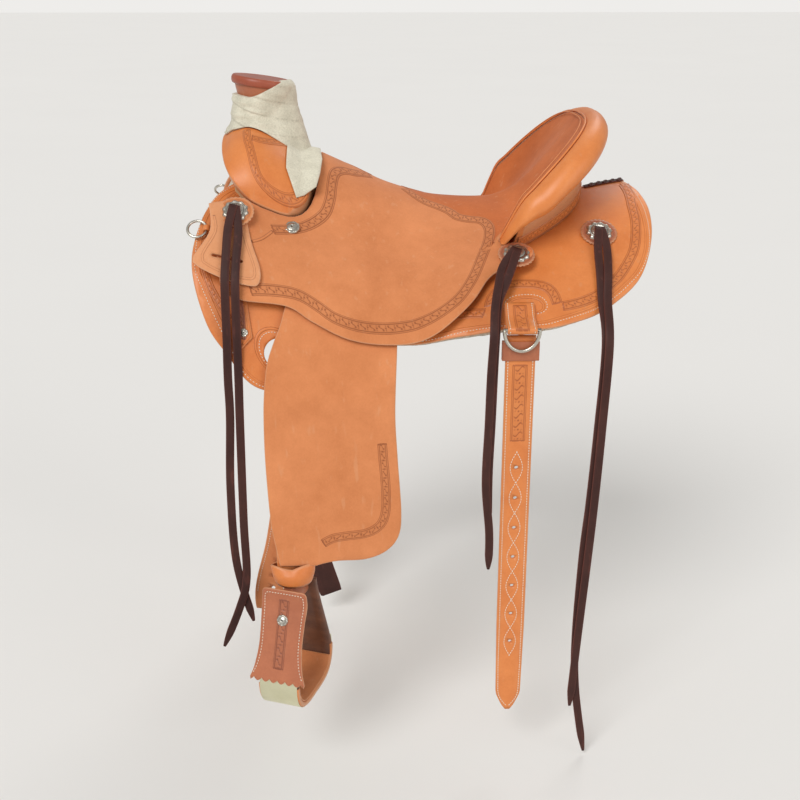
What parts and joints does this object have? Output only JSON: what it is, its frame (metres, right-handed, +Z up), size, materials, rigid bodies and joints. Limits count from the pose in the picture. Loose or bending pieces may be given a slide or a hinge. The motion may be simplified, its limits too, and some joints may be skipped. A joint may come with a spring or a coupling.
{
  "type": "wade saddle",
  "caption": "Western saddle with a slick fork, wrapped horn, high cantle, fleece-lined skirts, hanging fenders, bell stirrups and saddle strings.",
  "frame": {"origin": "on the horse's back line, under the lowest part of the seat, level with the underside of the fleece there", "axes": "+X to the rear of the saddle, -Y to the near (left) side, +Z up"},
  "size_m": [0.6759, 0.7294, 1.0245],
  "materials": {
    "rough_leather": "matte",
    "smooth_leather": "satin",
    "dark_leather": "satin",
    "fleece": "matte",
    "mulehide": "matte",
    "tree_wood": "satin",
    "silver": "polished",
    "stirrup_wood": "satin"
  },
  "bodies": {
    "saddle": {"tree_bar_near": "tree_wood", "tree_bar_off": "tree_wood", "ground_seat": "tree_wood", "tree_cantle": "tree_wood", "tree_fork": "tree_wood", "fork_cover": "smooth_leather", "horn": "tree_wood", "horn_cap_leather": "smooth_leather", "horn_wrap": "mulehide", "cantle_roll": "smooth_leather", "cantle_back": "smooth_leather", "seat": "rough_leather", "billet_root_near": "smooth_leather", "front_strings_near": "dark_leather", "seat_strings_near": "dark_leather", "rear_strings_near": "dark_leather", "skirt_near": "smooth_leather", "skirt_off": "smooth_leather", "fleece_near": "fleece", "fleece_off": "fleece", "fender_top_near": "rough_leather", "fender_top_off": "rough_leather", "rear_rig_near": "smooth_leather", "rear_rig_off": "smooth_leather", "collar_tab_near": "rough_leather", "collar_tab_off": "rough_leather", "rig_strap_near": "smooth_leather", "rig_strap_off": "smooth_leather", "front_concho_near": "silver", "front_concho_off": "silver", "seat_concho_near": "silver", "seat_concho_off": "silver", "rear_concho_near": "silver", "rear_concho_off": "silver"},
    "fender_near": {"fender_near": "rough_leather", "stirrup_leather_near": "smooth_leather", "leather_tail_near": "rough_leather", "hobble_strap_near": "smooth_leather"},
    "stirrup_neck_near": {"stirrup_loop_near": "smooth_leather"},
    "stirrup_near": {"stirrup_near": "stirrup_wood", "stirrup_panel_near": "rough_leather", "stirrup_roller_near": "silver"},
    "rear_ring_near": {"rear_ring_near": "silver"},
    "latigo_keeper_near": {"latigo_keeper_near": "rough_leather"},
    "collar_ring_near": {"collar_ring_near": "silver"},
    "fender_off": {"fender_off": "rough_leather", "stirrup_leather_off": "smooth_leather", "leather_tail_off": "rough_leather", "hobble_strap_off": "smooth_leather"},
    "stirrup_neck_off": {"stirrup_loop_off": "smooth_leather"},
    "stirrup_off": {"stirrup_off": "stirrup_wood", "stirrup_panel_off": "rough_leather", "stirrup_roller_off": "silver"},
    "rear_ring_off": {"rear_ring_off": "silver"},
    "latigo_keeper_off": {"latigo_keeper_off": "rough_leather"},
    "collar_ring_off": {"collar_ring_off": "silver"},
    "billet_near": {"billet_near": "smooth_leather", "billet_keeper_near": "rough_leather"},
    "off_billet": {"off_billet": "dark_leather"}
  },
  "joints": [
    {"name": "fender_swing_near", "type": "hinge", "parent": "saddle", "child": "fender_near", "pos_m": [-0.1514, 0, 0.015], "axis": [0, 1, 0], "range_deg": [-15, 4.5]},
    {"name": "stirrup_turn_near", "type": "hinge", "parent": "fender_near", "child": "stirrup_neck_near", "pos_m": [-0.166, -0.28, -0.464], "axis": [0, 0, 1], "range_deg": [-22, 22]},
    {"name": "stirrup_swing_near", "type": "hinge", "parent": "stirrup_neck_near", "child": "stirrup_near", "pos_m": [-0.166, -0.28, -0.483], "axis": [0.342, 0.9397, 0], "range_deg": [-18, 10]},
    {"name": "rear_ring_flip_near", "type": "hinge", "parent": "saddle", "child": "rear_ring_near", "pos_m": [0.158, -0.27648, -0.08476], "axis": [-1, 0, 0], "range_deg": [0, 110]},
    {"name": "latigo_keeper_turn_near", "type": "hinge", "parent": "saddle", "child": "latigo_keeper_near", "pos_m": [-0.238, -0.15556, 0.05461], "axis": [0.2211, -0.6368, 0.7387], "range_deg": [-8, 0]},
    {"name": "collar_ring_flip_near", "type": "hinge", "parent": "saddle", "child": "collar_ring_near", "pos_m": [-0.279, -0.16456, 0.03556], "axis": [0, 0.7046, 0.7096], "range_deg": [0, 80]},
    {"name": "fender_swing_off", "type": "hinge", "parent": "saddle", "child": "fender_off", "pos_m": [-0.1514, 0, 0.015], "axis": [0, 1, 0], "range_deg": [-15, 4.5]},
    {"name": "stirrup_turn_off", "type": "hinge", "parent": "fender_off", "child": "stirrup_neck_off", "pos_m": [-0.166, 0.28, -0.464], "axis": [0, 0, 1], "range_deg": [-22, 22]},
    {"name": "stirrup_swing_off", "type": "hinge", "parent": "stirrup_neck_off", "child": "stirrup_off", "pos_m": [-0.166, 0.28, -0.483], "axis": [-0.342, 0.9397, 0], "range_deg": [-18, 10]},
    {"name": "rear_ring_flip_off", "type": "hinge", "parent": "saddle", "child": "rear_ring_off", "pos_m": [0.158, 0.27648, -0.08476], "axis": [1, 0, 0], "range_deg": [0, 110]},
    {"name": "latigo_keeper_turn_off", "type": "hinge", "parent": "saddle", "child": "latigo_keeper_off", "pos_m": [-0.238, 0.15556, 0.05461], "axis": [-0.2211, -0.6368, -0.7387], "range_deg": [-8, 0]},
    {"name": "collar_ring_flip_off", "type": "hinge", "parent": "saddle", "child": "collar_ring_off", "pos_m": [-0.279, 0.16456, 0.03556], "axis": [0, 0.7046, -0.7096], "range_deg": [0, 80]},
    {"name": "billet_swing_near", "type": "hinge", "parent": "saddle", "child": "billet_near", "pos_m": [0.158, -0.26659, -0.06], "axis": [0, 1, 0], "range_deg": [-5, 8]},
    {"name": "off_billet_swing", "type": "hinge", "parent": "saddle", "child": "off_billet", "pos_m": [-0.178, 0.24363, -0.13358], "axis": [0, 1, 0], "range_deg": [-1, 4]}
  ]
}
